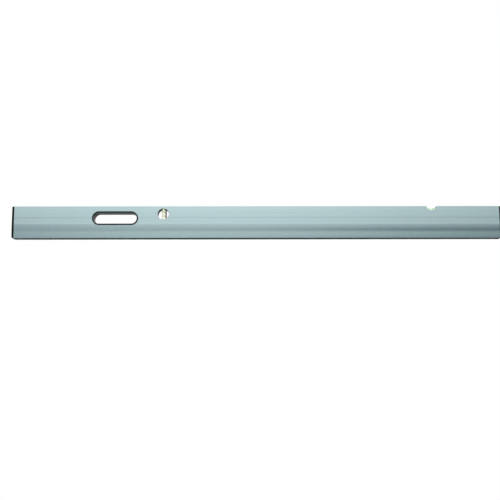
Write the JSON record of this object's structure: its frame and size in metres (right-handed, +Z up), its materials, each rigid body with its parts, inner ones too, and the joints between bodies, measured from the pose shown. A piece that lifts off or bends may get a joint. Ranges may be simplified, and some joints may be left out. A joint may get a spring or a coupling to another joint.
{
  "type": "spirit level",
  "caption": "Long straight-edge spirit level: hollow aluminium profile with black end caps, a lined hand hole, an upright vial in a round window and a lying vial in a top notch.",
  "frame": {"origin": "middle of the bottom measuring edge, at mid length and mid thickness", "axes": "+X along the level towards the lying vial, +Y through the thickness from the front face to the rear face, +Z up from the bottom edge to the top edge"},
  "size_m": [1.5, 0.021, 0.1],
  "materials": {
    "aluminium": "satin extruded",
    "black_plastic": "fine moulded grain",
    "white_plastic": "smooth moulded",
    "clear_acrylic": "polished clear",
    "yellow_fluid": "clear tinted liquid",
    "green_fluid": "clear tinted liquid",
    "air": "bubble of air",
    "line_print": "printed line"
  },
  "bodies": {
    "level": {"profile": "aluminium", "end_cap_left": "black_plastic", "end_cap_right": "black_plastic", "grip_front_shell": "black_plastic", "grip_rear_shell": "black_plastic", "plumb_carrier": "black_plastic", "plumb_tube": "clear_acrylic", "plumb_fluid": "yellow_fluid", "plumb_line_upper": "line_print", "plumb_line_lower": "line_print", "plumb_plug_top": "white_plastic", "plumb_plug_bottom": "white_plastic", "level_cradle": "white_plastic", "level_tube": "clear_acrylic", "level_fluid": "green_fluid", "level_line_left": "line_print", "level_line_right": "line_print", "level_plug_left": "white_plastic", "level_plug_right": "white_plastic"},
    "plumb_bubble_body": {"plumb_bubble": "air"},
    "level_bubble_body": {"level_bubble": "air"}
  },
  "joints": [
    {"name": "level_bubble_slide", "type": "slide", "parent": "level", "child": "level_bubble_body", "axis": [1, 0, 0], "range_m": [-0.018, 0.018], "stiffness_N_per_m": 0.5},
    {"name": "plumb_bubble_slide", "type": "slide", "parent": "level", "child": "plumb_bubble_body", "axis": [0, 0, 1], "range_m": [-0.025, 0], "stiffness_N_per_m": 0.5, "springref_m": 0.05}
  ]
}
